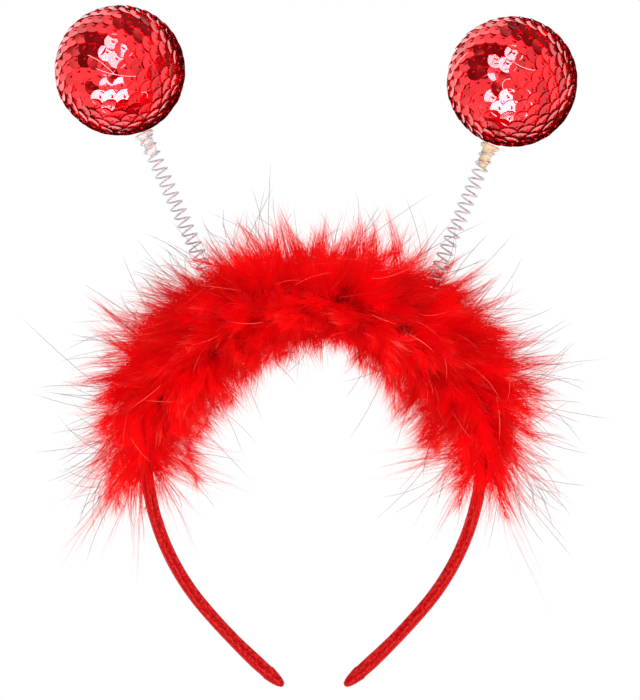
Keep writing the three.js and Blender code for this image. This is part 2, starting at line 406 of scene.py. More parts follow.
def makeBand():
    bm = bmesh.new()
    ring = bmesh.ops.create_circle(bm, segments=bandShape["sides"], radius=1)
    bmesh.ops.scale(bm, verts=ring["verts"], vec=(bandShape["thick"] / 2, bandShape["wide"] / 2, 1))
    upright = Matrix.Rotation(math.radians(-90), 4, "Y")
    bmesh.ops.transform(bm, matrix=upright, verts=ring["verts"])
    bmesh.ops.translate(bm, verts=ring["verts"], vec=(0, 0, bandShape["thick"] / 2))
    last = list(bm.verts) + list(bm.edges)
    gone = 0.0
    lastRadius, lastSweep = bandShape["arcs"][-1]
    tipSweep = math.degrees(bandShape["tipLong"] / lastRadius)
    # The last few millimetres get closer rings, which carry the tip's rounding
    spins = [(radius, sweep, bandShape["ringGap"]) for radius, sweep in bandShape["arcs"][:-1]]
    spins.append((lastRadius, lastSweep - tipSweep, bandShape["ringGap"]))
    spins.append((lastRadius, tipSweep, bandShape["tipLong"] / 26))
    for radius, sweep, gap in spins:
        place, outward = alongBand(gone + 1e-9)[:2]
        centre = Vector(place) - radius * Vector(outward)
        steps = round(radius * math.radians(sweep) / gap)
        made = bmesh.ops.spin(bm, geom=last, cent=centre, axis=(0, 1, 0), angle=math.radians(sweep),
                              steps=steps)
        last = [part for part in made["geom_last"] if not isinstance(part, bmesh.types.BMFace)]
        gone += radius * math.radians(sweep)
    end = [part for part in last if isinstance(part, bmesh.types.BMEdge)]
    bmesh.ops.holes_fill(bm, edges=end)
    cap = [face for face in bm.faces if len(face.verts) == bandShape["sides"]]
    bmesh.ops.poke(bm, faces=cap)
    stations = np.linspace(0, bandLength(), 1600)
    place, outward = alongBand(stations)[:2]
    back, thicks, wides = zip(*bandShape["tip"])
    for vert in bm.verts:
        nearest = int(np.argmin(((place - np.array(vert.co)) ** 2)[:, (0, 2)].sum(axis=1)))
        left = bandLength() - stations[nearest]
        thick = float(np.interp(left, back, thicks))
        out = Vector(outward[nearest])
        lifted = (vert.co - Vector(place[nearest])).dot(out)
        vert.co += out * lifted * (thick - 1)
        vert.co.y *= float(np.interp(left, back, wides))
    bmesh.ops.mirror(bm, geom=bm.verts[:] + bm.edges[:] + bm.faces[:], axis="X", merge_dist=1e-6)
    bmesh.ops.remove_doubles(bm, verts=bm.verts, dist=1e-6)
    bmesh.ops.recalc_face_normals(bm, faces=bm.faces)
    along = bm.verts.layers.float.new("along")
    across = bm.verts.layers.float.new("across")
    for vert in bm.verts:
        mirrored = np.array((abs(vert.co.x), 0, vert.co.z))
        nearest = int(np.argmin(((place - mirrored) ** 2).sum(axis=1)))
        vert[along] = math.copysign(stations[nearest], vert.co.x)
        vert[across] = float(np.dot(mirrored - place[nearest], outward[nearest])) + vert.co.y * 0.3
    showPiece(finishMesh(bm, "satin_band"), satinMaterial(), "headband", "satin_ribbon", "band")


makeBand()
print("satin band made")

# The marabou: solid down in tufts round the band, fine strands that gather to a point on each tuft, loose
# plumes, pale quills lying on the surface and long dark hairs
marabou = {
    "end": 0.095,  # the down ends this far along from the crown
    "tuftRows": 13,
    "tuftsRound": 6,
    "core": 0.54,  # share of the trim's outer form that is solid down
    "hollow": 0.34,  # how deep the down sinks between tufts
    "tuftReach": (0.92, 1.08),
    "tuftSpan": (0.0125, 0.5),  # a tuft's size along the band, and round it in radians
    "hollowWide": 0.55,
    "gather": 0.3,  # how strongly locks lean in on their tuft
    "lockRows": 112,
    "locksRound": 26,
    "lockWide": 0.0017,
    "lockRound": 0.011,  # radius at which that width is taken
    "lockReach": (0.88, 1.64),
    "lean": 0.009,  # how far on towards the ends a tip lies from its root
    "hang": 0.013,  # and how much further at the two ends
    "flare": 0.75,  # how much longer the longest locks at the two ends are
    "taper": 0.3,  # and how much shorter the shortest
    "crown": 0.14,  # how much shorter the locks on top of the crown are
    "inside": 0.12,  # and those on the inside of it
    "thinInside": 0.45,  # share of the strands that is left out on the inside, at the ends and in hollows
    "thinEnds": 0.98,
    "thinHollows": 0.8,
    "strands": 114000,
    "strandPieces": 3,
    "strandHalf": 0.00007,
    "strays": (0.3, 0.0024, 0.0006),  # share of strands that stray, how far, and how far the others do
    "pale": (1.08, 0.5),  # painted light: strands are painted paler from this share of the trim's reach, fully so this much further out
    # the form is taken no further along than this under the tips of locks, plumes and hairs
    "lockForm": 0.087,
    "plumeForm": 0.093,
    "hairForm": 0.085,
    "plumes": 170,
    "plumeEnd": 0.095,
    "plumeOn": (0.012, 0.005),
    "barbs": 120,
    "barbLong": 0.0085,
    "barbHalf": 0.00006,
    "quills": 170,
    "quillEnd": 0.092,
    "quillOn": (0.005, 0.014),
    "quillHalf": 0.000055,
    "hairs": 600,
    "hairEnd": 0.103,
    "hairCurl": 0.26,
    "hairLong": (0.009, 0.022),
    "hairHalf": 0.00009,
    "depth": (0.021, 0.034),  # past the first the fluff flattens, so nothing stands further than the second
    "downColours": ((0.44, 0.0, 0.002), (0.7, 0.0, 0.003)),
    # painted shade: the down darkens to this colour in the hollows between tufts
    "hollowShadeColour": (0.09, 0.0, 0.001),
    # colours by the tone-and-shading value, colour of the light that comes through, and its share; for the
    # barbs the dark low end is painted shade deep in the fluff and the pale high end is painted light on the
    # fringe
    "barbFinish": (((0.0, (0.11, 0.0, 0.001)), (0.28, (0.46, 0.0, 0.002)), (0.56, (0.6, 0.0, 0.003)),
                    (0.8, (0.86, 0.008, 0.007)), (1.0, (0.95, 0.26, 0.2))), (0.88, 0.012, 0.009), 0.47),
    "quillFinish": (((0.0, (0.95, 0.02, 0.02)), (0.5, (1.0, 0.08, 0.065)), (1.0, (1.0, 0.2, 0.16))),
                    (1.0, 0.2, 0.15), 0.2),
    "hairFinish": (((0.0, (0.05, 0.012, 0.013)), (0.5, (0.2, 0.012, 0.014)), (1.0, (0.8, 0.02, 0.022))),
                   (0.4, 0.05, 0.05), 0.2),
}


# How far the trim's outer form stands from the band's centre line, measured once on the CAD node
def measureTrim():
    bm = bmesh.new()
    bm.from_mesh(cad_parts["marabou_trim"].data)
    form = BVHTree.FromBMesh(bm)
    bm.free()
    alongs = np.linspace(-0.105, 0.105, 71)
    angles = np.linspace(-math.pi, math.pi, 41)
    place, outward = alongBand(alongs)[:2]
    far = 0.06
    bare = 0.004  # the reach where there is no trim
    reach = np.zeros((len(alongs), len(angles)))
    for row in range(len(alongs)):
        for column, angle in enumerate(angles):
            direction = Vector(outward[row]) * math.cos(angle) + Vector((0, 1, 0)) * math.sin(angle)
            hit = form.ray_cast(Vector(place[row]) + direction * far, -direction)
            reach[row, column] = far - hit[3] if hit[0] else bare
    # A spring's hole counts as filled
    around = np.lib.stride_tricks.sliding_window_view(np.pad(reach, 3, mode="edge"), (7, 7))
    return alongs, np.maximum(reach, np.median(around, axis=(2, 3)))


trimAlongs, trimReaches = measureTrim()


def trimReach(along, angle):
    rows, columns = trimReaches.shape
    span = trimAlongs[-1] - trimAlongs[0]
    row = (np.clip(along, trimAlongs[0], trimAlongs[-1]) - trimAlongs[0]) / span * (rows - 1)
    column = ((angle + math.pi) % (2 * math.pi)) / (2 * math.pi) * (columns - 1)
    lowRow = np.clip(np.floor(row).astype(int), 0, rows - 2)
    lowColumn = np.clip(np.floor(column).astype(int), 0, columns - 2)
    down = row - lowRow
    over = column - lowColumn
    first = trimReaches[lowRow, lowColumn] * (1 - over) + trimReaches[lowRow, lowColumn + 1] * over
    second = trimReaches[lowRow + 1, lowColumn] * (1 - over) + trimReaches[lowRow + 1, lowColumn + 1] * over
    return first * (1 - down) + second * down


# Centre line point, direction out through the fluff and onward direction; angle 0 is outward and
# -90 degrees the front
def fluffRay(along, angle):
    place, outward, onward = alongBand(along)
    depth = np.zeros_like(place)
    depth[..., 1] = 1
    return place, outward * np.cos(angle)[..., None] + depth * np.sin(angle)[..., None], onward


def unit(vectors):
    return vectors / np.maximum(np.linalg.norm(vectors, axis=-1, keepdims=True), 1e-12)


# Tufts stand in staggered rows, each a little off its place
def plantTufts():
    rows = marabou["tuftRows"]
    around = marabou["tuftsRound"]
    row, column = np.meshgrid(np.arange(rows), np.arange(around), indexing="ij")
    along = ((row + 0.5 + rng.uniform(-0.4, 0.4, row.shape)) / rows * 2 - 1) * marabou["end"]
    angle = (column + 0.5 * (row % 2) + rng.uniform(-0.35, 0.35, row.shape)) / around * 2 * math.pi - math.pi
    return along.ravel(), angle.ravel(), rng.uniform(*marabou["tuftReach"], row.size)


tuftAlong, tuftAngle, tuftReach = plantTufts()


# The nearest tuft, the turn from it, and how close a place is to the hollow where three tufts meet
def nearestTuft(along, angle):
    turn = (angle[:, None] - tuftAngle + math.pi) % (2 * math.pi) - math.pi
    spanLong, spanRound = marabou["tuftSpan"]
    apart = np.sqrt(((along[:, None] - tuftAlong) / spanLong) ** 2 + (turn / spanRound) ** 2)
    nearest = np.argmin(apart, axis=1)
    three = np.sort(np.partition(apart, 2, axis=1)[:, :3], axis=1)
    hollow = np.exp(-((three[:, 2] - three[:, 0]) / marabou["hollowWide"]) ** 2)
    return nearest, turn[np.arange(len(along)), nearest], hollow


def downShare(along, hollow):
    closing = np.clip(1 - (np.abs(along) / marabou["end"]) ** 4, 0, 1) ** 0.75
    return marabou["core"] * (1 - marabou["hollow"] * hollow) * closing


# One mesh of many tapered strips: points along each, half width vectors, and the tone-and-shading value
# (tone, with painted shade and painted light on the down) and normals for each point
def stripMesh(name, line, half, toneAndShading, puff):
    count, stations = line.shape[:2]
    easy, most = marabou["depth"]
    depth = np.abs(line[..., 1])
    flat = easy + (most - easy) * np.tanh((depth - easy) / (most - easy))
    line[..., 1] = np.sign(line[..., 1]) * np.where(depth > easy, flat, depth)
    sides = np.stack((line[:, :-1] - half[:, :-1], line[:, :-1] + half[:, :-1]), axis=2)
    places = np.concatenate((sides.reshape(count, -1, 3), line[:, -1:]), axis=1)
    each = places.shape[1]
    corner = []
    for step in range(stations - 2):
        corner += [2 * step, 2 * step + 1, 2 * step + 3, 2 * step + 2]
    corner += [each - 3, each - 2, each - 1]
    corners = np.arange(count)[:, None] * each + np.array(corner)
    starts = np.arange(count)[:, None] * len(corner) + np.arange(stations - 1) * 4
    mesh = bpy.data.meshes.new(name)
    mesh.vertices.add(count * each)
    mesh.vertices.foreach_set("co", places.astype(np.float32).ravel())
    mesh.loops.add(corners.size)
    mesh.loops.foreach_set("vertex_index", corners.astype(np.int32).ravel())
    mesh.polygons.add(starts.size)
    mesh.polygons.foreach_set("loop_start", starts.astype(np.int32).ravel())
    mesh.update(calc_edges=True)
    pointToneAndShading = np.concatenate((np.repeat(toneAndShading[:, :-1], 2, axis=1), toneAndShading[:, -1:]), axis=1)
    puffs = np.concatenate((np.repeat(puff[:, :-1], 2, axis=1), puff[:, -1:]), axis=1)
    mesh.attributes.new("toneAndShading", "FLOAT", "POINT").data.foreach_set("value", pointToneAndShading.astype(np.float32).ravel())
    mesh.normals_split_custom_set_from_vertices(puffs.reshape(-1, 3).astype(np.float32))
    return mesh


def downMaterial(name, finish):
    stops, through, glow = finish
    material, tree, surface = startMaterial(name)
    toneAndShading = addNode(tree, "ShaderNodeAttribute", attribute_name="toneAndShading")
    addRamp(tree, surface, toneAndShading.outputs["Fac"], stops)
    setInputs(surface, {"Roughness": 0.8, "Specular IOR Level": 0.0})
    lit = addNode(tree, "ShaderNodeBsdfTranslucent")
    lit.inputs["Color"].default_value = (*through, 1)
    mix = addNode(tree, "ShaderNodeMixShader")
    mix.inputs["Fac"].default_value = glow
    tree.links.new(surface.outputs[0], mix.inputs[1])
    tree.links.new(lit.outputs[0], mix.inputs[2])
    tree.links.new(mix.outputs[0], tree.nodes["Material Output"].inputs["Surface"])
    return material


def coreMaterial():
    material, tree, surface = startMaterial("red down")
    hollow = addNode(tree, "ShaderNodeAttribute", attribute_name="hollow")
    soft = addMottle(tree, 220, *marabou["downColours"], 4.0, (0.3, 0.6))
    # Painted shade: the down's colour is darkened towards the hollows where tufts meet
    hollowShade = addNode(tree, "ShaderNodeMix", data_type="RGBA")
    tree.links.new(hollow.outputs["Fac"], hollowShade.inputs[0])
    tree.links.new(soft.outputs["Color"], hollowShade.inputs[6])
    hollowShade.inputs[7].default_value = (*marabou["hollowShadeColour"], 1)
    tree.links.new(hollowShade.outputs[2], surface.inputs["Base Color"])
    setInputs(surface, {"Roughness": 0.9, "Specular IOR Level": 0.03})
    addBump(tree, surface, soft.outputs["Height"], 0.002, 0.4)
    return material


def makeDown():
    bm = bmesh.new()
    bmesh.ops.create_grid(bm, x_segments=230, y_segments=90, size=0.5)
    alongs = np.array([vert.co.x * 2 * marabou["end"] for vert in bm.verts])
    angles = np.array([vert.co.y * 2 * math.pi for vert in bm.verts])
    place, direction = fluffRay(alongs, angles)[:2]
    hollow = nearestTuft(alongs, angles)[2]
    radius = trimReach(alongs, angles) * downShare(alongs, hollow)
    # How close each point is to a hollow; the down's material paints shade there
    layer = bm.verts.layers.float.new("hollow")
    for vert, spot, hollowShade in zip(bm.verts, place + direction * radius[:, None], hollow):
        vert.co = spot
        vert[layer] = hollowShade
    bmesh.ops.remove_doubles(bm, verts=bm.verts, dist=1e-5)
    bmesh.ops.smooth_vert(bm, verts=bm.verts, factor=0.5, use_axis_x=True, use_axis_y=True, use_axis_z=True)
    bmesh.ops.recalc_face_normals(bm, faces=bm.faces)
    showPiece(finishMesh(bm, "marabou_down"), coreMaterial(), "headband", "marabou", "marabou_trim")


# Feathers lie towards the nearer end, apart from some at the middle of the crown
def flowOf(along):
    return np.where(along + rng.normal(0, 0.016, len(along)) < 0, -1.0, 1.0)


def bezier(root, bend, tip, part):
    part = part[..., None]
    place = (1 - part) ** 2 * root[:, None] + 2 * part * (1 - part) * bend[:, None] + part ** 2 * tip[:, None]
    heading = unit(2 * (1 - part) * (bend - root)[:, None] + 2 * part * (tip - bend)[:, None])
    return place, heading


# Locks are small pointed bundles all over the down: where each is rooted, its tip and the way it bends
def plantLocks():
    rows = marabou["lockRows"]
    around = marabou["locksRound"]
    row, column = np.meshgrid(np.arange(rows), np.arange(around), indexing="ij")
    along = ((row + 0.5 + rng.uniform(-0.6, 0.6, row.shape)) / rows * 2 - 1).ravel() * marabou["end"]
    angle = ((column + rng.uniform(-0.6, 0.6, row.shape)) / around * 2 - 1).ravel() * math.pi
    count = len(along)
    nearest, turn, hollow = nearestTuft(along, angle)
    nearEnd = np.abs(along) / marabou["end"]
    lean = marabou["lean"] * np.clip(nearEnd * 3, 0.2, 1) + marabou["hang"] * nearEnd ** 10
    tipAlong = along + flowOf(along) * np.abs(rng.normal(lean, 0.004 + 0.006 * nearEnd ** 6))
    tipAngle = angle - turn * marabou["gather"] + rng.normal(0, 0.14, count)
    least, most = marabou["lockReach"]
    luck = rng.uniform(0, 1, count) ** (1.7 + 0.5 * nearEnd ** 6)
    inside = np.clip(-np.cos(tipAngle), 0, 1)
    share = least + (most - least) * luck
    share *= 1 + nearEnd ** 5 * (marabou["flare"] * luck - marabou["taper"] * (1 - luck))
    shorter = marabou["inside"] * inside + marabou["crown"] * np.clip(np.cos(tipAngle), 0, 1)
    share *= 1 - shorter * (1 - nearEnd)
    form = marabou["lockForm"]
    reach = trimReach(np.clip(tipAlong, -form, form), tipAngle) * tuftReach[nearest] * share
    centre, out = fluffRay(tipAlong, tipAngle)[:2]
    tip = centre + out * reach[:, None]
    bend = out * 0.0015 + rng.normal(0, 0.0019, (count, 3))
    thick = (1 - marabou["thinInside"] * inside) * (1 - marabou["thinEnds"] * nearEnd ** 3.2)
    thick *= 1 - marabou["thinHollows"] * hollow
    return along, angle, tip, bend, thick / thick.sum()


# Painted light: the tone-and-shading value goes up to 0.8 where a strand is within the trim's form, and to 1,
# paler, where it stands well out of it, as if lit through from behind
def paintLightOutside(toneAndShading, line, centre, reach):
    first, further = marabou["pale"]
    away = np.linalg.norm(line - centre[..., None, :], axis=-1) / reach
    pale = np.clip((away - first) / further, 0, 1)
    return 0.8 * toneAndShading * (1 - pale) + pale


def makeStrands(material):
    lockAlong, lockAngle, lockTip, lockBend, lockThick = plantLocks()
    pieces = marabou["strandPieces"]
    count = marabou["strands"] // pieces
    for number in range(pieces):
        lock = rng.choice(len(lockAlong), count, p=lockThick)
        along = lockAlong[lock] + rng.normal(0, marabou["lockWide"], count)
        along = np.clip(along, -marabou["end"], marabou["end"])
        angle = lockAngle[lock] + rng.normal(0, marabou["lockWide"] / marabou["lockRound"], count)
        nearest, hollow = nearestTuft(along, angle)[::2]
        centre, out = fluffRay(along, angle)[:2]
        reach = trimReach(along, angle)
        share = downShare(along, hollow) * rng.uniform(0.7, 1.0, count)
        root = centre + out * np.maximum(reach * share, 0.003)[:, None]
        # Most strands stop short of their lock's tip, and a few stray
        part = (1.04 - 0.72 * rng.uniform(0, 1, count) ** 1.1)[:, None]
        strays, far, near = marabou["strays"]
        stray = np.where(rng.uniform(0, 1, (count, 1)) < strays, far, near)
        tip = root * (1 - part) + lockTip[lock] * part + rng.normal(0, 1, (count, 3)) * stray
        bend = (root + tip) / 2 + lockBend[lock] + rng.normal(0, 0.0006, (count, 3))
        line = bezier(root, bend, tip, np.tile(np.linspace(0, 1, 4), (count, 1)))[0]
        tuftCentre, tuftOut = fluffRay(tuftAlong[nearest], tuftAngle[nearest])[:2]
        heart = tuftCentre + tuftOut * (reach * 0.3)[:, None]
        puff = unit(line - heart[:, None])
        facing = unit(puff[:, 1] + rng.normal(0, 0.4, (count, 3)))
        width = unit(np.cross(tip - root, facing))
        half = width[:, None] * marabou["strandHalf"] * np.array((1.0, 0.9, 0.7, 0.0))[None, :, None]
        # Painted shade: darker at the root, deep in the fluff, lighter towards the tip
        toneAndShading = (0.45 + rng.normal(0, 0.05, count))[:, None] + np.linspace(0, 0.55, 4) * part
        toneAndShading -= 0.6 * hollow[:, None] * np.linspace(1, 0, 4)  # painted shade, dark at the root in a hollow
        toneAndShading = paintLightOutside(toneAndShading, line, centre, reach[:, None])
        mesh = stripMesh(f"marabou_strands_{number + 1}", line, half, toneAndShading, puff)
        strands = showPiece(mesh, material, "headband", "marabou", "marabou_trim")
        strands.visible_shadow = False  # down this fine lets light through everywhere


# Places along the band, closer together towards the ends
def moreAtEnds(end, count):
    place = rng.uniform(-1, 1, count)
    return end * np.sign(place) * np.abs(place) ** 0.75


def makePlumes(material):
    count = marabou["plumes"]
    barbs = marabou["barbs"]
    along = moreAtEnds(marabou["plumeEnd"], count)
    angle = rng.uniform(-math.pi, math.pi, count)
    flow = flowOf(along)
    tipAlong = along + flow * np.abs(rng.normal(*marabou["plumeOn"], count))
    tipAngle = angle + rng.normal(0, 0.25, count)
    rootCentre, rootOut = fluffRay(along, angle)[:2]
    tipCentre, tipOut = fluffRay(tipAlong, tipAngle)[:2]
    rootReach = trimReach(along, angle)
    root = rootCentre + rootOut * (rootReach * 0.45)[:, None]
    form = marabou["plumeForm"]
    reach = trimReach(np.clip(tipAlong, -form, form), tipAngle)
    tip = tipCentre + tipOut * (reach * rng.uniform(0.85, 1.15, count))[:, None]
    bend = root * 0.5 + tip * 0.5 + rootOut * 0.004 + rng.normal(0, 0.0015, (count, 3))
    part = np.sort(rng.uniform(0.25, 1, (count, barbs)), axis=1)
    place, heading = bezier(root, bend, tip, part)
    centre, outward = alongBand(along[:, None] * (1 - part) + tipAlong[:, None] * part)[:2]
    puff = unit(place - centre - outward * 0.003)
    roll = rng.normal(0, 0.7, (count, 1, 1))
    across = unit(np.cross(heading, puff))
    across = unit(across * np.cos(roll) + np.cross(heading, across) * np.sin(roll))
    side = np.where(np.arange(barbs) % 2 == 0, 1.0, -1.0)[None, :, None]
    splay = 0.95 - 0.55 * part + rng.normal(0, 0.2, (count, barbs))
    start = heading * np.cos(splay)[..., None] + across * side * np.sin(splay)[..., None]
    start = unit(start + puff * rng.normal(0.05, 0.3, (count, barbs, 1)))
    long = marabou["barbLong"] * (0.5 + 0.5 * np.sin(math.pi * part)) * rng.uniform(0.6, 1.2, (count, barbs))
    curl = heading * 0.3 + rng.normal(0, 0.25, (count, barbs, 3))
    steps = np.array((0.0, 0.36, 0.7, 1.0))[None, None, :, None]
    sweep = start[:, :, None] * steps + curl[:, :, None] * steps ** 2 * 0.6
    line = place[:, :, None] + long[..., None, None] * sweep
    facing = unit(puff + rng.normal(0, 0.4, (count, barbs, 3)))
    width = unit(np.cross(start, facing))
    half = width[:, :, None] * marabou["barbHalf"] * np.array((1.0, 0.85, 0.55, 0.0))[None, None, :, None]
    # Painted shade: barbs darker towards the plume's root and at their own bases, lighter out at the tips
    toneAndShading = 0.55 + 0.45 * part[..., None] * np.array((0.2, 0.5, 0.8, 1.0)) + rng.normal(0, 0.06, (count, 1, 1))
    toneAndShading = paintLightOutside(toneAndShading, line, centre, rootReach[:, None, None])
    puffs = np.repeat(puff[:, :, None], 4, axis=2)
    mesh = stripMesh("marabou_plumes", line.reshape(-1, 4, 3), half.reshape(-1, 4, 3), toneAndShading.reshape(-1, 4),
                     puffs.reshape(-1, 4, 3))
    plumes = showPiece(mesh, material, "headband", "marabou", "marabou_trim")
    plumes.visible_shadow = False


# Pale quills lie on the surface, bent round it towards the ends
def makeQuills():
    count = marabou["quills"]
    along = rng.uniform(-marabou["quillEnd"], marabou["quillEnd"], count)
    angle = rng.uniform(-math.pi, math.pi, count)
    flow = flowOf(along)
    stations = np.linspace(0, 1, 9)[None, :]
    alongs = along[:, None] + flow[:, None] * rng.uniform(*marabou["quillOn"], (count, 1)) * stations
    angles = angle[:, None] + rng.normal(0, 0.22, (count, 1)) * stations
    angles = angles + rng.normal(0, 0.2, (count, 1)) * stations ** 2
    share = rng.uniform(0.8, 0.95, (count, 1)) + rng.uniform(0, 0.25, (count, 1)) * stations ** 1.5
    centre, out = fluffRay(alongs, angles)[:2]
    line = centre + out * (trimReach(alongs, angles) * share)[..., None]
    ahead = unit(np.gradient(line, axis=1))
    swell = np.sin(math.pi * (0.12 + 0.8 * stations))
    half = unit(np.cross(ahead, out)) * (marabou["quillHalf"] * swell)[..., None]
    toneAndShading = np.repeat(rng.uniform(0.2, 1, (count, 1)), 9, axis=1)
    mesh = stripMesh("marabou_quills", line, half, toneAndShading, out)
    material = downMaterial("marabou quills", marabou["quillFinish"])
    showPiece(mesh, material, "headband", "marabou", "marabou_trim")


# Hairs stand out past the fluff, and at the two ends they hang with the wisps
def makeHairs():
    count = marabou["hairs"]
    along = moreAtEnds(marabou["hairEnd"], count)
    angle = rng.triangular(-math.pi, 0, math.pi, count)  # few on the inside of the hoop
    centre, out, onward = fluffRay(along, angle)
    form = marabou["hairForm"]
    reach = trimReach(np.clip(along, -form, form), angle)
    root = centre + out * (reach * rng.uniform(0.8, 1.1, count))[:, None]
    nearEnd = (np.abs(along) / marabou["hairEnd"])[:, None]
    leaning = rng.uniform(-0.2, 0.6, (count, 1)) + rng.uniform(0, 2.2, (count, 1)) * nearEnd ** 6
    heading = unit(out + onward * leaning + rng.normal(0, 0.25, (count, 3)))
    long = (rng.uniform(*marabou["hairLong"], (count, 1)) * (1 + 0.2 * nearEnd ** 6))[..., None]
    steps = np.linspace(0, 1, 6)[None, :, None]
    curl = rng.normal(0, marabou["hairCurl"], (count, 1, 3))
    line = root[:, None] + long * (heading[:, None] * steps + curl * steps ** 2)
    width = unit(np.cross(heading, unit(out + rng.normal(0, 0.5, (count, 3)))))
    half = width[:, None] * marabou["hairHalf"] * (1 - 0.45 * steps)
    toneAndShading = np.repeat(rng.uniform(0, 0.5, (count, 1)), 6, axis=1) + (1 - steps[..., 0]) * 0.6
    puff = np.repeat(out[:, None], 6, axis=1)
    # Two crossed strips for each hair, so that it shows from every side
    crossed = np.cross(half, heading[:, None])
    mesh = stripMesh("marabou_hairs", np.tile(line, (2, 1, 1)), np.concatenate((half, crossed)),
                     np.tile(toneAndShading, (2, 1)), np.tile(puff, (2, 1, 1)))
    material = downMaterial("marabou hairs", marabou["hairFinish"])
    showPiece(mesh, material, "headband", "marabou", "marabou_trim")


fluffFinish = downMaterial("marabou barbs", marabou["barbFinish"])
makeDown()
makeStrands(fluffFinish)
makePlumes(fluffFinish)
makeQuills()
makeHairs()
print("marabou made")

# The two boppers: where each stands along the band, its lean, and its ball's centre up its own line and
# to one side
boppers = {
    "left": {"along": -0.031, "lean": -24.4, "reach": 0.1004, "shift": 0.0015},
    "right": {"along": 0.037, "lean": 22.7, "reach": 0.098, "shift": -0.0017},
}
spring = {
    "coil": 0.00265,
    "wire": 0.00035,
    "pitch": 0.00325,
    "foot": 0.00295,
    "belowBall": 0.0259,  # the top turn stops this far under the ball's centre
    "stepsPerTurn": 24,
    "wireSides": 8,
    "stillFoot": 0.014,  # a point is taken this far up its line, and one this far under its top
    "stillTop": 0.009,
    "colours": ((0.5, 0.5, 0.53), (0.74, 0.74, 0.78)),
}


def bopperFrame(side):
    place = alongBand(boppers[side]["along"])[0]
    turn = Matrix.Rotation(math.radians(boppers[side]["lean"]), 4, "Y")
    return Matrix.Translation(Vector(place)) @ turn


def ballCentre(side):
    return bopperFrame(side) @ Vector((boppers[side]["shift"], 0, boppers[side]["reach"]))


def wireMaterial():
    material, tree, surface = startMaterial("bright spring wire")
    drawn = addMottle(tree, 900, *spring["colours"], spread=(0.3, 0.7))
    tree.links.new(drawn.outputs["Color"], surface.inputs["Base Color"])
    dull = addMottle(tree, 900, (0.2, 0.2, 0.2), (0.4, 0.4, 0.4), spread=(0.3, 0.7))
    tree.links.new(dull.outputs["Color"], surface.inputs["Roughness"])
    surface.inputs["Metallic"].default_value = 0.92
    return material


def makeSpring(side, material):
    top = boppers[side]["reach"] - spring["belowBall"]
    tall = top - spring["foot"]
    turns = tall / spring["pitch"]
    steps = round(turns * spring["stepsPerTurn"])
    bm = bmesh.new()
    ring = bmesh.ops.create_circle(bm, segments=spring["wireSides"], radius=spring["wire"], cap_ends=True)
    slope = math.atan2(spring["pitch"], 2 * math.pi * spring["coil"])
    stand = Matrix.Rotation(math.radians(90) + slope, 4, "X")
    foot = Matrix.Translation((spring["coil"], 0, spring["foot"]))
    bmesh.ops.transform(bm, matrix=foot @ stand, verts=ring["verts"])
    bmesh.ops.spin(bm, geom=bm.verts[:] + bm.edges[:] + bm.faces[:], cent=(0, 0, 0), axis=(0, 0, 1),
                   dvec=(0, 0, tall / steps), angle=2 * math.pi * turns, steps=steps)
    bmesh.ops.recalc_face_normals(bm, faces=bm.faces)
    bmesh.ops.transform(bm, matrix=bopperFrame(side), verts=bm.verts)
    mesh = finishMesh(bm, "spring_coil_" + side)
    piece = showPiece(mesh, material, None, "spring_wire", "spring_" + side)
    start = bopperFrame(side) @ Vector((0, 0, spring["stillFoot"]))
    end = bopperFrame(side) @ Vector((0, 0, top - spring["stillTop"]))
    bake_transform(piece)


glue = {
    "under": 0.0242,  # the cupped top lies this far under the ball's centre
    "profile": ((0.0, -0.0088), (0.0012, -0.0086), (0.0017, -0.0076), (0.0021, -0.006), (0.0019, -0.0045),
                (0.0024, -0.003), (0.0023, -0.0018), (0.0034, -0.0012), (0.0036, -0.0005), (0.0028, 0.0002),
                (0.0, 0.0)),  # radius and height of the lump
    "sides": 28,
    "lumps": (520, 0.00022),  # lumps to a metre, and how high they are
    "colours": {
        "left": ((0.42, 0.4, 0.39), (0.66, 0.65, 0.64)),
        "right": ((0.44, 0.34, 0.18), (0.66, 0.57, 0.4)),
    },
}


def glueMaterial(side):
    inputs = {"Roughness": 0.3, "Transmission Weight": 0.35, "IOR": 1.48}
    return cloudedMaterial("hot glue " + side, (420, *glue["colours"][side]), inputs, (0.0004, 0.5))


def makeGlue(side):
    bm = bmesh.new()
    verts = [bm.verts.new((radius, 0, height)) for radius, height in glue["profile"]]
    edges = [bm.edges.new(pair) for pair in zip(verts, verts[1:])]
    bmesh.ops.spin(bm, geom=verts + edges, cent=(0, 0, 0), axis=(0, 0, 1), angle=2 * math.pi,
                   steps=glue["sides"], use_merge=True)
    bmesh.ops.remove_doubles(bm, verts=bm.verts, dist=1e-6)
    bmesh.ops.recalc_face_normals(bm, faces=bm.faces)
    bmesh.ops.subdivide_edges(bm, edges=bm.edges[:], cuts=1, use_grid_fill=True, smooth=0.6)
    often, high = glue["lumps"]
    for vert in bm.verts:
        vert.co += noise.noise_vector(vert.co * often) * high
    bmesh.ops.translate(bm, verts=bm.verts, vec=(0, 0, boppers[side]["reach"] - glue["under"]))
    bmesh.ops.transform(bm, matrix=bopperFrame(side), verts=bm.verts)
    mesh = finishMesh(bm, "glue_lump_" + side)
    showPiece(mesh, glueMaterial(side), "bopper_" + side, "hot_glue", "glue_" + side)


wireFinish = wireMaterial()
for side in boppers:
    makeSpring(side, wireFinish)
    makeGlue(side)
print("springs and glue made")

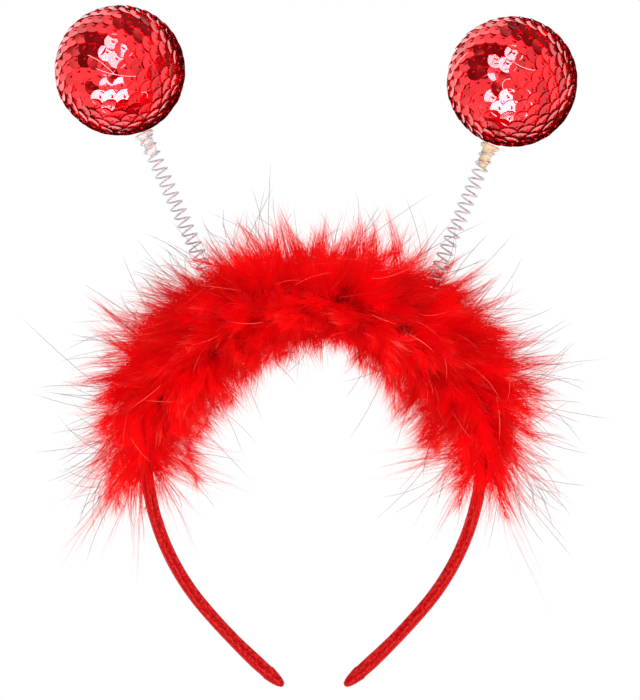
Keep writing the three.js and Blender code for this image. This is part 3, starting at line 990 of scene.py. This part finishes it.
# A sequin ball: one string of sequins wound round a foam ball from the thread's knot, each over the one
# before
sequins = {
    "foam": 0.0214,
    "seat": 0.0229,
    "radius": 0.00335,
    "hole": 0.00042,
    "flat": 0.0019,
    "cup": 0.00006,  # the rim turns up
    "segments": 20,
    "rowPitch": 0.0044,
    "spacing": 0.0043,
    "lift": 4.9,  # degrees that the edge towards the knot stands up
    "overlap": 4.7,  # degrees that each lies over the next along the string
    "unrest": 0.7,  # spread of both, in degrees
    "sway": 3.6,  # degrees that whole patches lean this way or that
    "patch": 0.013,
    "knot": (-0.42, -0.758, -0.5),
    "stitch": (0.0007, 0.00032, 0.00022),
    "seed": 14,
    "colours": ((0.0, (0.62, 0.002, 0.006)), (0.4, (0.84, 0.005, 0.012)), (1.0, (0.96, 0.012, 0.02))),
    "foamColours": ((0.4, 0.002, 0.006), (0.7, 0.006, 0.014)),
    "stitchColours": ((0.22, 0.001, 0.005), (0.5, 0.006, 0.014)),
}
# Loose ends of thread: where on the ball's front, the bow's radius, its sweep and its turn in degrees
threadEnds = {
    "half": 0.00007,
    "high": 0.0241,  # from the ball's centre
    "colours": ((0.75, 0.4, 0.38), (0.95, 0.72, 0.7)),
    "left": ((-0.2, 0.02, 0.03, 24, 54), (0.0, -0.15, 0.04, 22, -101), (0.44, -0.4, 0.0016, 130, 60)),
    "right": ((-0.2, -0.16, 0.0023, 230, 190), (0.1, 0.12, 0.0125, 40, -112), (-0.78, 0.3, 0.014, 26, 130)),
}


def sequinMaterial():
    material, tree, surface = startMaterial("red metallic sequins")
    shade = addNode(tree, "ShaderNodeAttribute", attribute_name="shade")
    addRamp(tree, surface, shade.outputs["Fac"], sequins["colours"])
    smear = addMottle(tree, 700, (0.05, 0.05, 0.05), (0.14, 0.14, 0.14), spread=(0.3, 0.75))
    tree.links.new(smear.outputs["Color"], surface.inputs["Roughness"])
    setInputs(surface, {"Metallic": 0.9, "Coat Weight": 0.75, "Coat Roughness": 0.03})
    addBump(tree, surface, smear.outputs["Height"], 0.0001, 0.1)
    return material


def foamMaterial():
    cells = (900, *sequins["foamColours"], 3.0, (0.3, 0.7))
    return cloudedMaterial("red foam", cells, {"Roughness": 0.85}, (0.0004, 0.7))


def threadMaterial(name, colours):
    inputs = {"Roughness": 0.7, "Specular IOR Level": 0.1}
    return cloudedMaterial(name, (2400, *colours, 2.0), inputs, (0.0001, 0.6))


# Places of the string's sequins as frames: X along the string, Y away from the knot, Z out of the ball
def stringFrames():
    pole = Vector(sequins["knot"]).normalized()
    level = pole.to_track_quat("Z", "Y").to_matrix()
    frames = []
    polar = 0.0
    turn = 0.0
    while polar < math.pi - 0.02:
        out = level @ Vector((math.sin(polar) * math.cos(turn), math.sin(polar) * math.sin(turn),
                              math.cos(polar)))
        away = level @ Vector((math.cos(polar) * math.cos(turn), math.cos(polar) * math.sin(turn),
                               -math.sin(polar)))
        frames.append(Matrix((away.cross(out), away, out)).transposed())
        ringRadius = max(sequins["seat"] * math.sin(polar), sequins["spacing"] * 0.35)
        step = sequins["spacing"] / ringRadius
        turn += step
        polar += sequins["rowPitch"] / sequins["seat"] * step / (2 * math.pi)
    return frames


# A flat ring with a rim that turns up
def makeSequin():
    bm = bmesh.new()
    bmesh.ops.create_circle(bm, segments=sequins["segments"], radius=sequins["hole"])
    edges = bm.edges[:]
    for radius, height in ((sequins["flat"], 0), (sequins["radius"], sequins["cup"])):
        grown = bmesh.ops.extrude_edge_only(bm, edges=edges)["geom"]
        verts = [part for part in grown if isinstance(part, bmesh.types.BMVert)]
        edges = [part for part in grown if isinstance(part, bmesh.types.BMEdge)]
        edges = [edge for edge in edges if all(vert in verts for vert in edge.verts)]
        for vert in verts:
            flat = Vector((vert.co.x, vert.co.y, 0)).normalized()
            vert.co = flat * radius + Vector((0, 0, height))
    bmesh.ops.recalc_face_normals(bm, faces=bm.faces)
    if sum(face.normal.z for face in bm.faces) < 0:
        bmesh.ops.reverse_faces(bm, faces=bm.faces)
    return finishMesh(bm, "sequin")


def makeSequinBall(side, materials, chance):
    body = "bopper_" + side
    node = "sequin_ball_" + side
    centre = ballCentre(side)
    disc = makeSequin()
    discs = bmesh.new()
    shade = discs.verts.layers.float.new("shade")
    stitches = bmesh.new()
    frames = stringFrames()
    for facing in frames:
        seat = centre + facing.col[2] * sequins["seat"]
        lean = noise.noise_vector(seat / sequins["patch"]) * sequins["sway"]
        lift = math.radians(lean.x - sequins["lift"] + chance.normal(0, sequins["unrest"]))
        over = math.radians(lean.y + sequins["overlap"] + chance.normal(0, sequins["unrest"]))
        tilt = Matrix.Rotation(lift, 3, "X") @ Matrix.Rotation(over, 3, "Y")
        placed = Matrix.Translation(seat) @ (facing @ tilt).to_4x4()
        before = len(discs.verts)
        discs.from_mesh(disc)
        discs.verts.ensure_lookup_table()
        fresh = discs.verts[before:]
        bmesh.ops.transform(discs, matrix=placed, verts=fresh)
        tone = chance.uniform(0, 1)
        for vert in fresh:
            vert[shade] = tone
        made = bmesh.ops.create_icosphere(stitches, subdivisions=1, radius=1)["verts"]
        long, wide, tall = sequins["stitch"]
        bead = Matrix.Translation((-long * 0.7, 0, tall * 0.4)) @ Matrix.Diagonal((long, wide, tall, 1))
        bmesh.ops.transform(stitches, matrix=placed @ bead, verts=made)
    print(side, "ball:", len(frames), "sequins")
    foam = bmesh.new()
    bmesh.ops.create_icosphere(foam, subdivisions=4, radius=sequins["foam"])
    for vert in foam.verts:
        vert.co *= 1 + noise.noise(vert.co * 300) * 0.008
    bmesh.ops.translate(foam, verts=foam.verts, vec=centre)
    showPiece(finishMesh(foam, "foam_ball_" + side), materials[0], body, "sequins", node)
    string = finishMesh(discs, "sequin_string_" + side)
    sequinPieces.objects.link(showPiece(string, materials[1], body, "sequins", node))
    showPiece(finishMesh(stitches, "stitches_" + side), materials[2], body, "sequins", node)


def makeThreadEnds(side, material):
    threads = bmesh.new()
    for x, z, bow, sweep, turn in threadEnds[side]:
        out = Vector((x, -math.sqrt(1 - x * x - z * z), z))
        one = bmesh.ops.create_circle(threads, segments=6, radius=threadEnds["half"], cap_ends=True)["verts"]
        bmesh.ops.rotate(threads, verts=one, cent=(0, 0, 0), matrix=Matrix.Rotation(math.pi / 2, 3, "X"))
        bmesh.ops.translate(threads, verts=one, vec=(bow, 0, 0))
        faces = list({face for vert in one for face in vert.link_faces})
        edges = list({edge for vert in one for edge in vert.link_edges})
        begin = Matrix.Rotation(math.radians(turn - sweep / 2), 3, "Z")
        bmesh.ops.rotate(threads, verts=one, cent=(0, 0, 0), matrix=begin)
        before = set(threads.verts) - set(one)
        bmesh.ops.spin(threads, geom=one + edges + faces, cent=(0, 0, 0), axis=(0, 0, 1),
                       angle=math.radians(sweep), steps=18)
        arc = [vert for vert in threads.verts if vert not in before]
        middle = Vector((bow * math.cos(math.radians(turn)), bow * math.sin(math.radians(turn)), 0))
        level = out.to_track_quat("Z", "Y").to_matrix()
        for vert in arc:
            spot = out * threadEnds["high"] + level @ (vert.co - middle)
            vert.co = spot.normalized() * spot.dot(out)  # laid down on the ball
    bmesh.ops.recalc_face_normals(threads, faces=threads.faces)
    bmesh.ops.translate(threads, verts=threads.verts, vec=ballCentre(side))
    mesh = finishMesh(threads, "thread_ends_" + side)
    showPiece(mesh, material, "bopper_" + side, "sequins", "sequin_ball_" + side)


ballFinishes = (foamMaterial(), sequinMaterial(), threadMaterial("red thread", sequins["stitchColours"]))
threadFinish = threadMaterial("pale thread", threadEnds["colours"])
sequinRng = np.random.default_rng(sequins["seed"])
for side in boppers:
    makeSequinBall(side, ballFinishes, sequinRng)
    makeThreadEnds(side, threadFinish)
print("sequin balls made")
